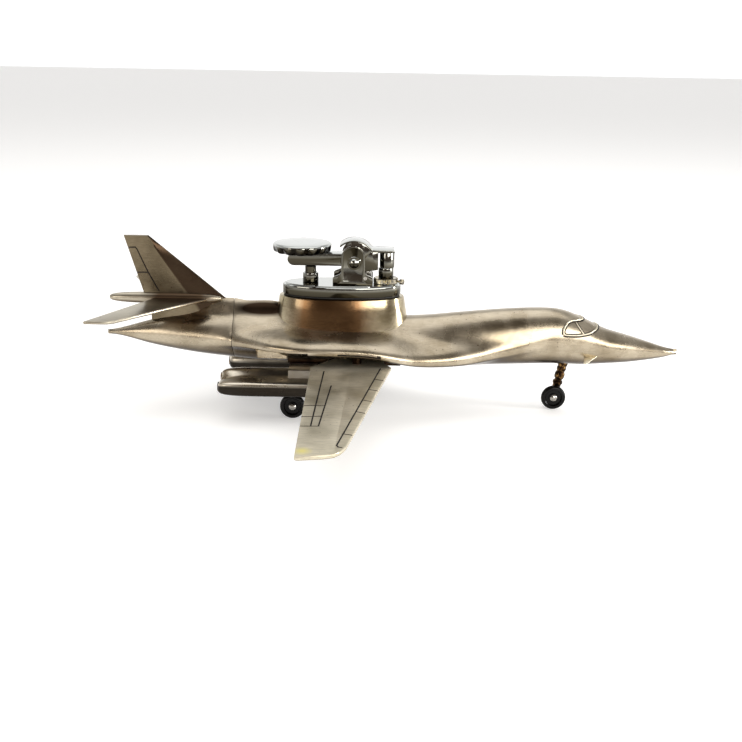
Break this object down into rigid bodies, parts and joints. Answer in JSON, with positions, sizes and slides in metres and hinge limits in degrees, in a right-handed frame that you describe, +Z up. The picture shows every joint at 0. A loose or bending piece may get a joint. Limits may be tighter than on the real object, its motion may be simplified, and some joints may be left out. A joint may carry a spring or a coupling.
{
  "type": "jet aircraft table lighter",
  "caption": "Cast-metal desk lighter shaped as a swing-wing jet: sweeping wings, rolling wheels, and a lift-out chrome lift-arm lighter in an oval collar on its back.",
  "frame": {"origin": "on the ground plane, under the middle of the model's box", "axes": "+X towards the nose, +Y to port, +Z up"},
  "size_m": [0.2588, 0.252, 0.0782],
  "materials": {
    "antique_nickel": "brushed antique nickel plate over cast zinc",
    "wing_nickel": "satin nickel plate",
    "chrome": "polished chrome plate",
    "bronze": "darkened bronze plate",
    "black_lacquer": "glossy black lacquer on metal",
    "steel": "bright steel",
    "flint_alloy": "dull grey flint alloy",
    "brass": "worn gilt brass",
    "gasket_rubber": "matt black rubber"
  },
  "bodies": {
    "airframe": {"fuselage_shell": "antique_nickel", "tail_cone": "antique_nickel", "fin": "antique_nickel", "tailplane": "antique_nickel", "lighter_collar": "antique_nickel", "belly_plate": "antique_nickel", "belly_screws": "steel", "nacelle_right": "antique_nickel", "nacelle_left": "antique_nickel", "exhaust_nozzles": "bronze", "nose_strut": "bronze", "main_leg_right": "bronze", "main_leg_left": "bronze", "main_axle_right": "steel", "main_axle_left": "steel", "wing_pin_right": "steel", "wing_pin_left": "steel", "wing_washers": "brass"},
    "wing_right": {"wing_right": "wing_nickel"},
    "wing_left": {"wing_left": "wing_nickel"},
    "nose_wheel": {"nose_axle": "steel", "nose_wheel": "black_lacquer"},
    "main_wheel_right": {"main_wheel_right": "black_lacquer"},
    "main_wheel_left": {"main_wheel_left": "black_lacquer"},
    "insert": {"deck_plate": "chrome", "deck_gasket": "gasket_rubber", "lever_bracket": "chrome", "plunger_sleeve": "chrome", "plunger_spring": "steel", "fuel_tank": "brass", "filler_valve": "brass", "flint_tube": "brass", "flint": "flint_alloy", "flint_spring": "steel", "flint_screw": "brass", "burner_valve": "brass", "burner_guard": "chrome", "pivot_screw": "chrome", "pivot_nut": "chrome", "wheel_axle": "steel"},
    "lever": {"thumb_lever": "chrome", "thumb_disc": "chrome"},
    "snuffer": {"snuffer_arm": "chrome", "snuffer_cap": "chrome"},
    "plunger": {"plunger_rod": "chrome"},
    "spark_wheel": {"spark_wheel": "steel"},
    "adjuster": {"adjuster_ring": "brass", "adjuster_pin": "brass"}
  },
  "joints": [
    {"name": "wing_sweep_right", "type": "hinge", "parent": "airframe", "child": "wing_right", "pos_m": [-0.016, -0.022, 0.0271], "axis": [0, 0, -1], "range_deg": [0, 50]},
    {"name": "wing_sweep_left", "type": "hinge", "parent": "airframe", "child": "wing_left", "pos_m": [-0.016, 0.022, 0.0271], "axis": [0, 0, 1], "range_deg": [0, 50]},
    {"name": "nose_wheel_roll", "type": "hinge", "parent": "airframe", "child": "nose_wheel", "pos_m": [0.075, 0.0004, 0.00565], "axis": [0, 1, 0], "continuous": true},
    {"name": "main_wheel_right_roll", "type": "hinge", "parent": "airframe", "child": "main_wheel_right", "pos_m": [-0.0444, -0.0173, 0.00565], "axis": [0, 1, 0], "continuous": true},
    {"name": "main_wheel_left_roll", "type": "hinge", "parent": "airframe", "child": "main_wheel_left", "pos_m": [-0.0444, 0.0173, 0.00565], "axis": [0, 1, 0], "continuous": true},
    {"name": "insert_lift", "type": "slide", "parent": "airframe", "child": "insert", "axis": [0, 0, 1], "range_m": [0, 0.03]},
    {"name": "lever_press", "type": "hinge", "parent": "insert", "child": "lever", "pos_m": [-0.0179, 0, 0.0684], "axis": [0, -1, 0], "range_deg": [0, 8], "stiffness_Nm_per_rad": 0.3, "springref_deg": -3.44},
    {"name": "snuffer_lift", "type": "hinge", "parent": "insert", "child": "snuffer", "pos_m": [-0.0179, 0, 0.0684], "axis": [0, -1, 0], "range_deg": [0, 28.5]},
    {"name": "plunger_travel", "type": "slide", "parent": "insert", "child": "plunger", "axis": [0, 0, -1], "range_m": [0, 0.003], "deforming": ["plunger_spring"]},
    {"name": "spark_wheel_turn", "type": "hinge", "parent": "insert", "child": "spark_wheel", "pos_m": [-0.0129, 0, 0.0619], "axis": [0, -1, 0], "range_deg": [0, 61]},
    {"name": "flame_adjust", "type": "hinge", "parent": "insert", "child": "adjuster", "pos_m": [-0.0038, 0, 0.0599], "axis": [0, 0, 1], "range_deg": [-60, 60]}
  ],
  "couplings": [
    {"joint": "snuffer_lift", "follows": "lever_press", "ratio": 3.5},
    {"joint": "plunger_travel", "follows": "lever_press", "m_per_rad": 0.0203},
    {"joint": "spark_wheel_turn", "follows": "lever_press", "ratio": 7.5}
  ]
}
